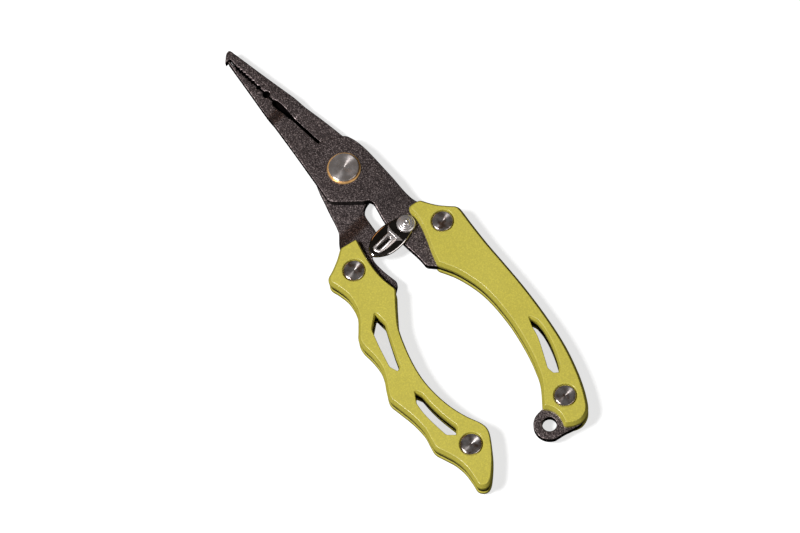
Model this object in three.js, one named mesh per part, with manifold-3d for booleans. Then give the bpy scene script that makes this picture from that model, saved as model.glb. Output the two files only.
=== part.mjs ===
// Split-ring fishing pliers: two joggled lever plates, four screwed-on grips, a pivot with a hidden
// torsion spring, and a thumb-operated lock lever. Millimetres, +Z up. The pliers lie on their rear
// grips at z = 0, the pivot axis is the Z axis, and the closed jaws point along +X.
import * as THREE from 'three';
import { mergeVertices } from 'three/addons/utils/BufferGeometryUtils.js';
import Module from 'manifold-3d';

const wasm = await Module();
wasm.setup();

// ---------------------------------------------------------------- driving dimensions
const PLATE = 3.0;              // thickness of each steel lever plate
const GRIP = 3.2;               // thickness of each grip scale
const JOGGLE = 1.7;             // how far each plate steps aside to pass the other at the pivot
const JAW_GAP = 0.45;            // clearance left between the closed jaws
const PLATE_INSET = 0.35;       // how far the plates stand back from the grip edges
const GRIP_CHAMFER = { width: 0.9, depth: 1.7 };         // the grips' outer edges
const WINDOW_CHAMFER = { width: 0.65, depth: 1.3 };

const PLATE_BOTTOM = GRIP;      // handle and jaw level of both plates
const PLATE_TOP = GRIP + PLATE;
const TOP = 2 * GRIP + PLATE;   // outer face of the front grips
const REAR_TOP = PLATE_TOP - JOGGLE;        // rear plate's mating face at the pivot
const FRONT_BOTTOM = PLATE_BOTTOM + JOGGLE; // front plate's mating face at the pivot
const FRONT_TOP = PLATE_TOP + JOGGLE;
const REAR_BOTTOM = PLATE_BOTTOM - JOGGLE;

const BOLT_BORE = 2.3;          // radius of the grip screws' holes
const RECESS = { radius: 3.65, depth: 1.1 };    // counterbore for a grip screw's head
const LOCK_BORE = 1.5;          // radius of the lock rivet's hole

const CURVE_STEP = 2.5;         // spacing of points along a smooth stretch of outline
const ROUND_SIDES = 32;
const SHEET = [-5, 20];         // bottom and top of a blank, well past every finished face
const THROUGH = [-6, 21];       // bottom and top of a cutter that goes right through a blank

// ---------------------------------------------------------------- solids from three.js geometry
function solid(geometry) {
  const bare = geometry.index ? geometry.toNonIndexed() : geometry.clone();
  for (const name of Object.keys(bare.attributes)) {
    if (name !== 'position') bare.deleteAttribute(name);
  }
  const merged = mergeVertices(bare, 1e-4);
  return new wasm.Manifold(new wasm.Mesh({
    numProp: 3,
    vertProperties: merged.attributes.position.array,
    triVerts: new Uint32Array(merged.index.array),
  }));
}

function geometryOf(made) {
  const mesh = made.getMesh();
  const positions = new Float32Array(mesh.numVert * 3);
  for (let i = 0; i < mesh.numVert; i++) {
    positions.set(mesh.vertProperties.subarray(i * mesh.numProp, i * mesh.numProp + 3), i * 3);
  }
  return new THREE.BufferGeometry()
    .setAttribute('position', new THREE.BufferAttribute(positions, 3))
    .setIndex(new THREE.BufferAttribute(new Uint32Array(mesh.triVerts), 1))
    .toNonIndexed();
}

// A corner of an outline. Plain [x, y] points between two corners lie on one smooth curve.
const corner = (x, y) => ({ corner: new THREE.Vector2(x, y) });

function trace(points, step = CURVE_STEP) {
  const traced = [];
  const closed = [...points, points[0]];
  let stretch = [];
  for (const point of closed) {
    const at = point.corner ?? new THREE.Vector2(...point);
    stretch.push(at);
    if (!point.corner || stretch.length === 1) continue;
    if (stretch.length === 2) {
      traced.push(stretch[0]);
    } else {
      const curve = new THREE.SplineCurve(stretch);
      const count = Math.max(2, Math.round(curve.getLength() / step));
      traced.push(...curve.getSpacedPoints(count).slice(0, -1));
    }
    stretch = [at];
  }
  return traced;
}

function circle(x, y, radius, sides = ROUND_SIDES) {
  return Array.from({ length: sides }, (_, i) => {
    const angle = (i / sides) * 2 * Math.PI;
    return new THREE.Vector2(x + radius * Math.cos(angle), y + radius * Math.sin(angle));
  });
}

// The outline moved inwards (counter-clockwise outlines) by a distance, corner to corner.
function inset(points, distance) {
  const normal = (a, b) => {
    const along = b.clone().sub(a).normalize();
    return new THREE.Vector2(-along.y, along.x);
  };
  return points.map((point, i) => {
    const before = normal(points.at(i - 1), point);
    const after = normal(point, points[(i + 1) % points.length]);
    const middle = before.clone().add(after);
    return point.clone().add(middle.multiplyScalar(2 * distance / middle.lengthSq()));
  });
}

function slab(points, bottom, top, bevel = {}) {
  const shape = new THREE.Shape(points);
  const options = { depth: top - bottom, bevelEnabled: false, ...bevel };
  return solid(new THREE.ExtrudeGeometry(shape, options).translate(0, 0, bottom));
}

const disc = (x, y, radius, bottom, top, sides) => slab(circle(x, y, radius, sides), bottom, top);

const ring = (x, y, inner, outer, bottom, top) =>
  disc(x, y, outer, bottom, top).subtract(disc(x, y, inner, bottom - 1, top + 1));

// A turned piece: the profile is [radius, z] from the axis round to the axis, standing at x, y.
function turned(x, y, profile, sides = ROUND_SIDES) {
  const points = profile.map(([radius, z]) => new THREE.Vector2(radius, z));
  return solid(new THREE.LatheGeometry(points, sides).rotateX(Math.PI / 2).translate(x, y, 0));
}

function joinAll(first, ...others) {
  return others.reduce((sum, piece) => sum.add(piece), first);
}

function cutAll(first, ...others) {
  return others.reduce((rest, piece) => rest.subtract(piece), first);
}

// ---------------------------------------------------------------- places
const GRIP_BOLTS = {
  scalloped: [[-27.4, 22.3], [-94.0, 37.3]],
  thumb: [[-35.8, -8.8], [-103.9, 6.0]],
};
const LUG = { x: -106.2, y: 15.4, radius: 5.0, hole: 2.25 };
const LOCK = { x: -27.6, y: -0.5 };

// ---------------------------------------------------------------- grip outlines, counter-clockwise
const scallopedGrip = trace([
  corner(-20.2, 14.3), corner(-18.7, 20.2),
  [-20.5, 23.2], [-22.1, 26.8], [-23.1, 29.6], [-25.0, 30.7], [-28.0, 30.2], [-32.0, 29.9],
  [-36.0, 30.8], [-39.4, 32.6], [-42.4, 35.4], [-44.6, 37.5], [-47.5, 38.4], [-51.5, 38.5],
  [-56.0, 39.2], [-59.6, 41.0], [-62.6, 43.1], [-65.6, 44.7], [-69.6, 44.5], [-75.0, 44.1],
  [-80.4, 44.4], [-84.0, 45.5], [-87.0, 46.2], [-90.5, 45.3], [-94.0, 44.4], [-98.0, 44.2],
  [-102.0, 44.9], [-105.0, 45.5], [-106.9, 43.8], [-106.2, 41.0],
  [-102.0, 36.0], [-97.6, 32.2], [-94.4, 30.3], [-91.4, 30.3],
  [-86.5, 31.9], [-81.0, 33.0], [-75.0, 33.3], [-69.0, 32.8], [-63.0, 31.3], [-57.0, 29.0],
  [-51.0, 26.0], [-46.0, 21.9], corner(-41.2, 17.5),
  [-36.5, 17.9], [-31.5, 17.5], [-26.0, 16.2],
]);

const thumbGrip = trace([
  corner(-24.3, -6.2), [-24.5, -5.0], [-25.8, -4.1], [-28.5, -3.9], [-32.0, -3.0], [-36.0, -1.3],
  [-40.2, 0.8], corner(-44.7, 2.7),
  [-50.0, 0.5], [-55.0, -0.7], [-60.0, -1.3], [-65.0, -1.2], [-70.0, -0.6], [-75.0, 0.3],
  [-80.0, 1.6], [-85.0, 3.2], [-90.0, 5.2], [-95.0, 7.9], corner(-101.6, 13.8),
  [-103.4, 12.4], [-105.8, 11.8], [-108.3, 12.2], corner(-110.4, 13.2),
  [-112.4, 10.6], [-113.2, 7.6], [-112.0, 4.2], [-108.5, 1.4], [-104.0, -1.2], [-99.0, -3.5],
  [-93.0, -5.8], [-86.0, -7.8], [-78.0, -9.6], [-69.0, -11.2], [-60.0, -12.4], [-51.0, -13.5],
  [-43.0, -14.8], [-37.0, -15.9], corner(-35.0, -15.7),
  [-32.6, -13.6], [-29.8, -11.5], corner(-25.1, -9.1),
]);

const scallopedWindows = [
  [
    corner(-60.8, 36.4), corner(-60.2, 35.0), [-56.0, 33.0], [-51.0, 30.4], corner(-46.8, 28.1),
    corner(-42.4, 28.0), corner(-45.3, 32.3), [-51.0, 34.6], corner(-58.2, 37.1),
  ],
  [
    corner(-88.5, 38.5), corner(-86.8, 36.6), [-81.0, 37.1], [-76.0, 37.1], corner(-71.8, 36.7),
    corner(-69.6, 37.5), corner(-72.6, 39.7), [-76.5, 40.4], [-81.0, 40.6], corner(-86.5, 40.5),
  ],
].map((points) => trace(points, 2.5));

const thumbWindows = [
  [
    corner(-97.1, 2.0), corner(-95.7, 0.4), [-92.0, -1.7], [-88.0, -3.5], [-84.0, -4.8],
    corner(-80.6, -5.3), corner(-78.0, -4.5), corner(-80.8, -3.1), [-84.5, -1.9], [-89.0, 0.5],
    corner(-93.8, 3.3), corner(-96.2, 3.2),
  ],
].map((points) => trace(points, 2.5));

// ---------------------------------------------------------------- lever plates
// Sheet stepping by a joggle between the given x stations; side is +1 to rise and -1 to drop.
function joggledSheet(side, handleRamp, jawRamp) {
  const middle = [
    [-130, 0], [handleRamp[0], 0], [handleRamp[1], side * JOGGLE],
    [jawRamp[0], side * JOGGLE], [jawRamp[1], 0], [80, 0],
  ];
  const profile = [
    ...middle.map(([x, z]) => new THREE.Vector2(x, PLATE_BOTTOM + z)),
    ...middle.map(([x, z]) => new THREE.Vector2(x, PLATE_TOP + z)).reverse(),
  ];
  const options = { depth: 120, bevelEnabled: false };
  const made = new THREE.ExtrudeGeometry(new THREE.Shape(profile), options);
  return solid(made.rotateX(Math.PI / 2).translate(0, 70, 0));
}

// Seam features shared by both jaws: crimping holes and a saw-toothed gripping stretch.
const SEAM = -1.02;                     // y of the front jaw's closed edge
const CRIMP_HOLES = [[37.3, 1.15], [41.0, 0.65]];       // x and radius
const TEETH = { start: 43.2, pitch: 1.4, count: 6, depth: 0.4 };

// Notches along a jaw's edge, cut into the jaw on that side of the seam (+1 is +Y).
function toothedEdge(edge, side) {
  return Array.from({ length: TEETH.count }, (_, i) => {
    const x = TEETH.start + i * TEETH.pitch;
    return [
      corner(x, edge), corner(x + 0.3 * TEETH.pitch, edge + side * TEETH.depth),
      corner(x + 0.65 * TEETH.pitch, edge),
    ];
  }).flat();
}

const crimpHoles = CRIMP_HOLES.map(
  ([x, radius]) => disc(x, SEAM - JAW_GAP / 2, radius, ...THROUGH, 16));

// A thin ledge along the rear jaw's underside closes the seam from below; the front jaw has a pocket
// for it. The pocket's outline is the ledge's, grown by the clearance.
const LEDGE = { thickness: 0.7, clearance: 0.25 };
const ledgeOutline = (grow) => [
  [9.5 - grow, -2.6 - grow], [33, -2.6 - grow], [53.2 + grow, -2 - grow], [53.2 + grow, -1 + grow],
  [50.5, -0.6 + grow], [47, -0.35 + grow], [40, 0.35 + grow], [30, 0.9 + grow], [9.5 - grow, 0.5 + grow],
].map(([x, y]) => new THREE.Vector2(x, y));

const BORE = 3.45;                      // pivot bore in both plates
const POCKET = { radius: 5.7, depth: 1.1, slotWidth: 1.2, slotEnd: 8.2 };
const SPRING_LEG = { rear: 2.2, front: 1.3 };   // directions of the spring's two legs, radians

// Counterbore and radial slot that hold one end of the torsion spring.
function springPocket(bottom, top, angle) {
  const half = POCKET.slotWidth / 2;
  const slot = [[4, -half], [POCKET.slotEnd, -half], [POCKET.slotEnd, half], [4, half]].map(
    ([x, y]) => new THREE.Vector2(x, y).rotateAround(new THREE.Vector2(), angle));
  return disc(0, 0, POCKET.radius, bottom, top).add(slab(slot, bottom, top));
}

function frontPlate() {
  const head = trace([
    corner(8.0, -8.3), corner(12.2, -1.7), corner(12.2, -0.4), corner(24.6, -0.4),
    corner(25.4, -0.1), corner(33.0, -0.1), corner(33.9, -0.6), corner(34.1, SEAM),
    ...toothedEdge(SEAM, 1), corner(54.7, SEAM - 0.15), corner(54.7, -0.5),
    [43.0, 1.8], [31.0, 4.2], [15.0, 7.2], corner(-4.2, 11.1), corner(-5.4, 10.6),
    [-9.0, 7.1], [-12.4, 3.6], [-13.6, 2.1], [-15.0, 1.6], [-17.0, 2.1], [-21.0, 3.2],
    [-26.0, 4.1], [-32.0, 4.4], [-38.0, 4.4], corner(-41.9, 4.8), corner(-45.2, 2.0),
    corner(-45.0, -6.0), corner(-32.0, -12.0), [-25.2, -8.9],
    [-20.0, -8.2], [-12.0, -8.8], [-5.0, -9.4], [0.0, -9.7], [4.0, -9.5], [6.6, -8.9],
  ]);
  const handle = cutAll(
    slab(inset(thumbGrip, PLATE_INSET), ...SHEET),
    ...thumbWindows.map((points) => slab(points, ...THROUGH)),
  );
  const lug = trace([
    corner(LUG.x + LUG.radius, LUG.y),
    ...circle(LUG.x, LUG.y, LUG.radius, 24).slice(1, 12).map(({ x, y }) => [x, y]),
    [-111.6, 14.0], [-112.6, 11.0], [-112.85, 7.6], corner(-108, 6), corner(-100, 9),
  ]);
  return cutAll(
    joinAll(slab(head, ...SHEET), handle, slab(lug, ...SHEET)),
    ...crimpHoles,
    ...GRIP_BOLTS.thumb.map(([x, y]) => disc(x, y, BOLT_BORE, ...THROUGH)),
    disc(0, 0, BORE, ...THROUGH),
    disc(LUG.x, LUG.y, LUG.hole, ...THROUGH),
    disc(LOCK.x, LOCK.y, LOCK_BORE, ...THROUGH, 16),
  )
    .intersect(joggledSheet(1, [-21.5, -14.0], [27.5, 31.0]))
    .subtract(springPocket(FRONT_BOTTOM - 1, FRONT_BOTTOM + POCKET.depth, SPRING_LEG.front))
    .subtract(slab(ledgeOutline(LEDGE.clearance), PLATE_BOTTOM - 1,
      PLATE_BOTTOM + LEDGE.thickness + LEDGE.clearance));
}

function rearPlate() {
  const seam = SEAM - JAW_GAP;
  const head = trace([
    corner(55.0, seam - 0.3), corner(55.1, 0.35), [56.2, -0.9], [57.3, -2.3], [57.4, -3.6],
    corner(56.4, -4.0), [40.0, -5.6], [20.0, -7.8], corner(9.0, -8.6), [4.0, -9.2],
    [-1.0, -9.2], [-6.0, -8.0], [-10.0, -5.2], [-12.2, -1.0], [-12.6, 2.4], [-13.6, 4.6],
    [-15.8, 6.1], [-18.6, 6.9], corner(-22.0, 7.6), [-23.6, 9.4], corner(-25.0, 12.0),
    corner(-26.3, 12.0), corner(-26.4, 13.4), corner(-27.4, 14.7),
    [-30.0, 15.3], [-34.0, 15.4], corner(-38.8, 15.0), corner(-39.7, 15.5),
    corner(-41.6, 18.5), corner(-38.0, 24.0), corner(-24.0, 24.0), corner(-19.6, 20.9),
    [-16.4, 18.6], [-13.4, 15.9], [-10.6, 14.5], [-6.0, 12.9], [-2.0, 11.4], [2.0, 9.9],
    [5.6, 8.0], [8.4, 4.6], [10.0, 0.6], corner(11.4, -2.0),
    corner(25.0, -1.9), [27.6, -2.1], [31.0, -2.2], corner(33.6, -2.0), corner(34.1, seam),
    ...toothedEdge(seam, -1),
  ].reverse());
  const handle = cutAll(
    slab(inset(scallopedGrip, PLATE_INSET), ...SHEET),
    ...scallopedWindows.map((points) => slab(points, ...THROUGH)),
  );
  const sheet = joggledSheet(-1, [-18.5, -14.5], [25.5, 30.0]);
  const ledge = slab(ledgeOutline(0), ...SHEET)
    .intersect(sheet)
    .intersect(sheet.translate([0, 0, LEDGE.thickness - PLATE]));
  return cutAll(
    joinAll(slab(head, ...SHEET), handle),
    ...crimpHoles,
    ...GRIP_BOLTS.scalloped.map(([x, y]) => disc(x, y, BOLT_BORE, ...THROUGH)),
    disc(0, 0, BORE, ...THROUGH),
  )
    .intersect(sheet)
    .subtract(springPocket(REAR_TOP - POCKET.depth, REAR_TOP + 1, SPRING_LEG.rear))
    .add(ledge);
}

// ---------------------------------------------------------------- grips
// A scale with chamfered edges, windows and counterbored bolt holes, lying on the front of a plate.
function grip(outline, windows, bolts) {
  const chamfered = (points, { width, depth }) => slab(points, PLATE_BOTTOM + depth, TOP - depth, {
    bevelEnabled: true, bevelThickness: depth, bevelSize: width, bevelOffset: -width, bevelSegments: 1,
  });
  const flared = (points) => {
    const { width, depth } = WINDOW_CHAMFER;
    return slab(points, PLATE_BOTTOM, TOP - depth).add(
      slab(points, TOP + depth, TOP + depth + 1, {
        bevelEnabled: true, bevelThickness: 2 * depth, bevelSize: 2 * width, bevelSegments: 1,
        bevelOffset: 0,
      }));
  };
  const body = chamfered(outline, GRIP_CHAMFER);
  const below = slab([[-200, -100], [100, -100], [100, 100], [-200, 100]].map(
    ([x, y]) => new THREE.Vector2(x, y)), -10, PLATE_TOP);
  return cutAll(
    body.subtract(below),
    ...windows.map(flared),
    ...bolts.map(([x, y]) => disc(x, y, BOLT_BORE, ...THROUGH)),
    ...bolts.map(([x, y]) => disc(x, y, RECESS.radius, TOP - RECESS.depth, THROUGH[1])),
  );
}

const toRear = (made) => made.mirror([0, 0, 1]).translate([0, 0, TOP]);

// ---------------------------------------------------------------- turned hardware
// Two-part posts: a bolt from the front screws into the barrel of a nut from the rear.
const gripBoltProfile = [
  [0, 2.9], [1.45, 2.9], [1.45, 6.8], [2.15, 6.8], [2.15, 8.35], [3.3, 8.35], [3.3, 9.15],
  [3.1, 9.35], [0, 9.2],
];
const gripNutProfile = [
  [0, 0.2], [3.1, 0.05], [3.3, 0.25], [3.3, 1.05], [2.15, 1.05], [2.15, 6.6], [1.6, 6.6],
  [1.6, 2.4], [0, 2.4],
];
const PIVOT_WASHER = 0.4;
const pivotBoltProfile = [
  [0, 2.2], [1.55, 2.2], [1.55, 6.4], [2.5, 6.4], [2.5, FRONT_TOP + PIVOT_WASHER],
  [4.85, FRONT_TOP + PIVOT_WASHER], [4.85, 9.1], [4.6, 9.35], [0, 8.95],
];
const pivotNutProfile = [
  [0, 0], [4.6, 0], [4.85, 0.25], [4.85, REAR_BOTTOM - PIVOT_WASHER], [2.5, REAR_BOTTOM - PIVOT_WASHER],
  [2.5, 6.2], [1.65, 6.2], [1.65, 1.8], [0, 1.8],
];

const SPANNER_HOLE = { from: 3.2, radius: 0.6, depth: 0.6 };

function pivotNut() {
  const { from, radius, depth } = SPANNER_HOLE;
  const holes = [-from, from].map((x) => disc(x, 0, radius, -1, depth, 16));
  return cutAll(turned(0, 0, pivotNutProfile), ...holes);
}

function pivotSpring() {
  const wire = 0.4;
  const radius = 4.7;
  const turns = 2 + (SPRING_LEG.front - SPRING_LEG.rear) / (2 * Math.PI);
  const low = REAR_TOP - POCKET.depth + wire + 0.1;
  const high = FRONT_BOTTOM + POCKET.depth - wire - 0.1;
  const at = (r, angle, z) => new THREE.Vector3(r * Math.cos(angle), r * Math.sin(angle), z);
  const coil = Array.from({ length: 33 }, (_, i) => {
    const share = i / 32;
    return at(radius, SPRING_LEG.rear + share * turns * 2 * Math.PI, low + share * (high - low));
  });
  const path = new THREE.CatmullRomCurve3([
    at(7.6, SPRING_LEG.rear, low), at(6.2, SPRING_LEG.rear, low), ...coil,
    at(6.2, SPRING_LEG.front, high), at(7.6, SPRING_LEG.front, high),
  ]);
  const section = new THREE.Shape(circle(0, 0, wire, 6));
  return solid(new THREE.ExtrudeGeometry(section, { steps: 72, bevelEnabled: false, extrudePath: path }));
}

// ---------------------------------------------------------------- lock lever
const LEVER = { bottom: 6.6, plate: 1.1, boss: 1.6, cross: 2.1, rib: 2.7, ribEnd: 1.4 };

const leverOutline = trace([
  corner(-27.6, -3.7), [-25.3, -2.9], [-24.0, 0.2], [-22.9, 4.0], [-22.6, 7.6], [-23.2, 11.0],
  [-25.1, 13.8], [-27.3, 14.7], [-29.2, 13.4], [-31.0, 10.6], [-31.7, 7.2], [-31.6, 3.8],
  [-30.8, 0.2], [-29.8, -2.8],
], 1.6);

// The thumb ribs' side profile along Y: high at the cross bar, falling towards the free end.
function ribSlope() {
  const { bottom, rib, ribEnd } = LEVER;
  const profile = [
    [4, bottom - 1], [15, bottom - 1], [15, bottom + ribEnd], [12.8, bottom + ribEnd],
    [6.4, bottom + rib], [4, bottom + rib],
  ].map(([y, z]) => new THREE.Vector2(y, z));
  const options = { depth: 10, bevelEnabled: false };
  const made = new THREE.ExtrudeGeometry(new THREE.Shape(profile), options);
  return solid(made.rotateX(Math.PI / 2).rotateZ(Math.PI / 2).translate(-32, 0, 0));
}

function lockLever() {
  const { bottom } = LEVER;
  const cross = trace([
    corner(-31.0, 3.6), corner(-27.6, 3.1), corner(-24.2, 3.6), corner(-26.1, 5.5), corner(-29.0, 5.5),
  ]);
  const rib = trace([
    corner(-29.4, 5.2), corner(-25.6, 5.2), corner(-25.3, 12.4), [-26.9, 13.2], corner(-28.7, 12.4),
  ], 1);
  const thumbSlot = trace([
    corner(-28.3, 7.0), [-27.5, 6.3], corner(-26.7, 7.0), corner(-26.5, 11.6), [-27.2, 12.2],
    corner(-27.9, 11.6),
  ], 1);
  return cutAll(
    joinAll(
      slab(leverOutline, bottom, bottom + LEVER.plate),
      disc(LOCK.x, LOCK.y, 3.1, bottom, bottom + LEVER.boss, 24),
      slab(cross, bottom, bottom + LEVER.cross),
      slab(rib, bottom, bottom + LEVER.rib).intersect(ribSlope()),
    ),
    disc(LOCK.x, LOCK.y, LOCK_BORE, ...THROUGH, 16),
    slab(thumbSlot, bottom + LEVER.plate, THROUGH[1]),
  );
}

const LEVER_FACE = LEVER.bottom + LEVER.boss;
const lockRivetProfile = [
  [0, 2.35], [1.7, 2.4], [2.4, 2.8], [2.4, 3.15], [1.4, 3.15], [1.4, LEVER_FACE + 0.05],
  [2.2, LEVER_FACE + 0.05], [2.1, LEVER_FACE + 0.45], [1.5, LEVER_FACE + 0.85],
  [0.7, LEVER_FACE + 1.0], [0, LEVER_FACE + 0.8],
];

// ---------------------------------------------------------------- materials
const finish = (color, roughness, metalness) =>
  new THREE.MeshStandardMaterial({ color, roughness, metalness });
const darkSteel = finish(0x474042, 0.55, 0.4);
const limePaint = finish(0xc6bd4e, 0.45, 0.1);
const turnedSteel = finish(0xb8b3b4, 0.3, 1.0);
const brass = finish(0xd9a24a, 0.3, 1.0);
const chrome = finish(0xe8e6e6, 0.08, 1.0);
const springSteel = finish(0x8c8c90, 0.35, 1.0);

// ---------------------------------------------------------------- assembly
const pliers = new THREE.Group();

function place(name, made, material) {
  const mesh = new THREE.Mesh(geometryOf(made), material);
  mesh.name = name;
  pliers.add(mesh);
}

place('front_lever_plate', frontPlate(), darkSteel);
place('rear_lever_plate', rearPlate(), darkSteel);

const thumbScale = grip(thumbGrip, thumbWindows, GRIP_BOLTS.thumb);
const scallopedScale = grip(scallopedGrip, scallopedWindows, GRIP_BOLTS.scalloped);
place('thumb_grip_front', thumbScale, limePaint);
place('thumb_grip_rear', toRear(thumbScale), limePaint);
place('scalloped_grip_front', scallopedScale, limePaint);
place('scalloped_grip_rear', toRear(scallopedScale), limePaint);

for (const [handle, bolts] of Object.entries(GRIP_BOLTS)) {
  bolts.forEach(([x, y], i) => {
    const end = i === 0 ? 'upper' : 'lower';
    place(`${handle}_grip_bolt_${end}`, turned(x, y, gripBoltProfile, 24), turnedSteel);
    place(`${handle}_grip_nut_${end}`, turned(x, y, gripNutProfile, 24), turnedSteel);
  });
}

place('pivot_bolt', turned(0, 0, pivotBoltProfile), turnedSteel);
place('pivot_nut', pivotNut(), turnedSteel);
place('pivot_bush', ring(0, 0, 2.6, 3.4, REAR_BOTTOM + 0.05, FRONT_TOP - 0.05), brass);
place('pivot_washer_front', ring(0, 0, 2.6, 5.45, FRONT_TOP, FRONT_TOP + PIVOT_WASHER), brass);
place('pivot_washer_rear', ring(0, 0, 2.6, 5.45, REAR_BOTTOM - PIVOT_WASHER, REAR_BOTTOM), brass);
place('pivot_spacer_washer', ring(0, 0, 6.1, 8.6, REAR_TOP + 0.05, FRONT_BOTTOM - 0.05), brass);
place('pivot_torsion_spring', pivotSpring(), springSteel);

place('lock_lever', lockLever(), chrome);
place('lock_rivet', turned(LOCK.x, LOCK.y, lockRivetProfile, 20), chrome);
place('lock_wave_washer', ring(LOCK.x, LOCK.y, 1.6, 2.9, PLATE_TOP, LEVER.bottom - 0.05), springSteel);

export default pliers;
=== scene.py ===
"""Split-ring fishing pliers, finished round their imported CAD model: fine-edged plates, grips and turned
hardware, a polished lock lever, their materials, and a plain studio. Shapes are in millimetres until
finish_mesh scales them to metres."""

import math

import bmesh
import bpy
import numpy as np
from mathutils import Matrix, Vector
from mathutils.geometry import delaunay_2d_cdt


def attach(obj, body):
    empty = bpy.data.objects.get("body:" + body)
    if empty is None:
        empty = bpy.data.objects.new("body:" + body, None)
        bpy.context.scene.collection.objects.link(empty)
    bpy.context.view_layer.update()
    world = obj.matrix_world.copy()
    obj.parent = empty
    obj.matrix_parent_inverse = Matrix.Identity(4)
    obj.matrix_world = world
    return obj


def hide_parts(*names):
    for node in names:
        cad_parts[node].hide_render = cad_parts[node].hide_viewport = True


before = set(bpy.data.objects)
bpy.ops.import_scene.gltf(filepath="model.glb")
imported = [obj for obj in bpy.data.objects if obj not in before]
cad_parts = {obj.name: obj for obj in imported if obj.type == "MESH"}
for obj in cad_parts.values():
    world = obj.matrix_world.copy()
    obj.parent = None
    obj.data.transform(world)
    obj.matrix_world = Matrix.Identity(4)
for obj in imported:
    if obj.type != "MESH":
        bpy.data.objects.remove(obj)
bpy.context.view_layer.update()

# ---------------------------------------------------------------- dimensions, millimetres
MM = 0.001
PLATE = 3.0
GRIP = 3.2
JOGGLE = 1.7                        # how far each plate steps aside at the pivot
JAW_GAP = 0.45                      # between the two jaws' edges when shut
PLATE_INSET = 0.35                  # how far a plate's outline lies inside its grips'
GRIP_CHAMFER = {"width": 0.9, "depth": 1.7}
WINDOW_CHAMFER = {"width": 0.65, "depth": 1.3}
WINDOW_SHARE = 0.25                 # how much of a window's bevel is left on the side it narrows on
PLATE_BOTTOM = GRIP
PLATE_TOP = GRIP + PLATE
TOP = 2 * GRIP + PLATE
REAR_TOP = PLATE_TOP - JOGGLE
FRONT_BOTTOM = PLATE_BOTTOM + JOGGLE
FRONT_TOP = PLATE_TOP + JOGGLE
REAR_BOTTOM = PLATE_BOTTOM - JOGGLE

GRIP_BOLTS = {
    "scalloped": [(-27.4, 22.3), (-94.0, 37.3)],
    "thumb": [(-35.8, -8.8), (-103.9, 6.0)],
}
BOLT_BORE = 2.3
RECESS = 3.65                       # radius of the counterbore round each grip bolt head
RECESS_DEPTH = 1.1
LUG = (-106.2, 15.4)
LUG_RADIUS = 5.0
LUG_HOLE = 2.25
LOCK = (-27.6, -0.5)                # centre of the lock's rivet
LOCK_BORE = 1.5
PIVOT_BORE = 3.45
SEAM = -1.02                        # y of the front jaw's edge; the rear jaw's is JAW_GAP below it
CRIMP_HOLES = [(37.3, 1.15), (41.0, 0.65)]
LEDGE = {"thickness": 0.7, "clearance": 0.25}
TEETH = {"start": 43.2, "pitch": 1.4, "count": 6, "depth": 0.4}
FRONT_RAMPS = [(-21.5, -14.0), (27.5, 31.0)]    # x where each plate steps aside, handle side first
REAR_RAMPS = [(-18.5, -14.5), (25.5, 30.0)]
BEND = 1.1                          # reach of the bend at each end of a ramp
POCKET = {"radius": 5.7, "depth": 1.1}
SPRING_LEG = {"rear": 2.2, "front": 1.3}        # where the spring's legs point, in radians

STEP = 0.6                          # spacing of points along a smooth stretch of outline
SHARP = math.radians(32)            # an edge that turns further than this is drawn sharp


# ---------------------------------------------------------------- outlines
# A closed outline is a list of points. (x, y) lies on a smooth curve; (x, y, r) is a corner, rounded
# over a reach of r along both sides.
def smooth_stretch(points, step):
    """Evenly spaced points along a Catmull-Rom curve through points, without its last one."""
    if len(points) == 2:
        return points[:1]
    p = np.array(points)
    padded = np.vstack([p[:1], p, p[-1:]])
    t = np.linspace(0, 1, 12, endpoint=False)[:, None]
    fine = []
    for a, b, c, d in zip(padded, padded[1:], padded[2:], padded[3:]):
        v0, v1 = (c - a) / 2, (d - b) / 2
        fine.append((2 * b - 2 * c + v0 + v1) * t**3 + (-3 * b + 3 * c - 2 * v0 - v1) * t**2 + v0 * t + b)
    fine = np.vstack(fine + [p[-1:]])
    along = np.concatenate([[0], np.cumsum(np.linalg.norm(np.diff(fine, axis=0), axis=1))])
    at = np.linspace(0, along[-1], max(3, round(along[-1] / step) + 1))
    return np.stack([np.interp(at, along, fine[:, k]) for k in (0, 1)], axis=1)[:-1].tolist()


def round_corners(line, reaches):
    """The closed line with each corner {index: reach} replaced by a short curve."""
    points = np.array(line)
    closed = np.vstack([points, points[:1]])
    along = np.concatenate([[0], np.cumsum(np.linalg.norm(np.diff(closed, axis=0), axis=1))])
    total = along[-1]

    def point_at(distance):
        return np.array([np.interp(distance % total, along, closed[:, k]) for k in (0, 1)])

    def gap(a, b):
        return abs((a - b + total / 2) % total - total / 2)

    rounded = []
    for i, p in enumerate(points):
        if reaches.get(i):
            start, end = point_at(along[i] - reaches[i]), point_at(along[i] + reaches[i])
            for t in np.linspace(0, 1, 6):
                rounded.append((1 - t) ** 2 * start + 2 * t * (1 - t) * p + t**2 * end)
        elif i in reaches or all(gap(along[i], along[c]) > r + 0.05 for c, r in reaches.items()):
            rounded.append(p)
    return np.array(rounded)


def trace(points, step=STEP):
    """The closed counter-clockwise outline through points, as an array of fine points."""
    ring = points + points[:1]
    line, reaches, stretch = [], {}, []
    for point in ring:
        stretch.append(list(point[:2]))
        if len(point) == 2 or len(stretch) == 1:
            continue
        line += smooth_stretch(stretch, step)
        stretch = stretch[-1:]
        reaches[len(line)] = point[2]
    reaches[0] = reaches.pop(len(line))
    return counter_clockwise(round_corners(line, reaches))


def counter_clockwise(loop):
    x, y = loop.T
    area = (x * np.roll(y, -1) - np.roll(x, -1) * y).sum()
    return loop if area > 0 else loop[::-1]


def circle(x, y, radius, sides=64):
    angles = np.arange(sides) / sides * 2 * math.pi
    return np.stack([x + radius * np.cos(angles), y + radius * np.sin(angles)], axis=1)


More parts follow.
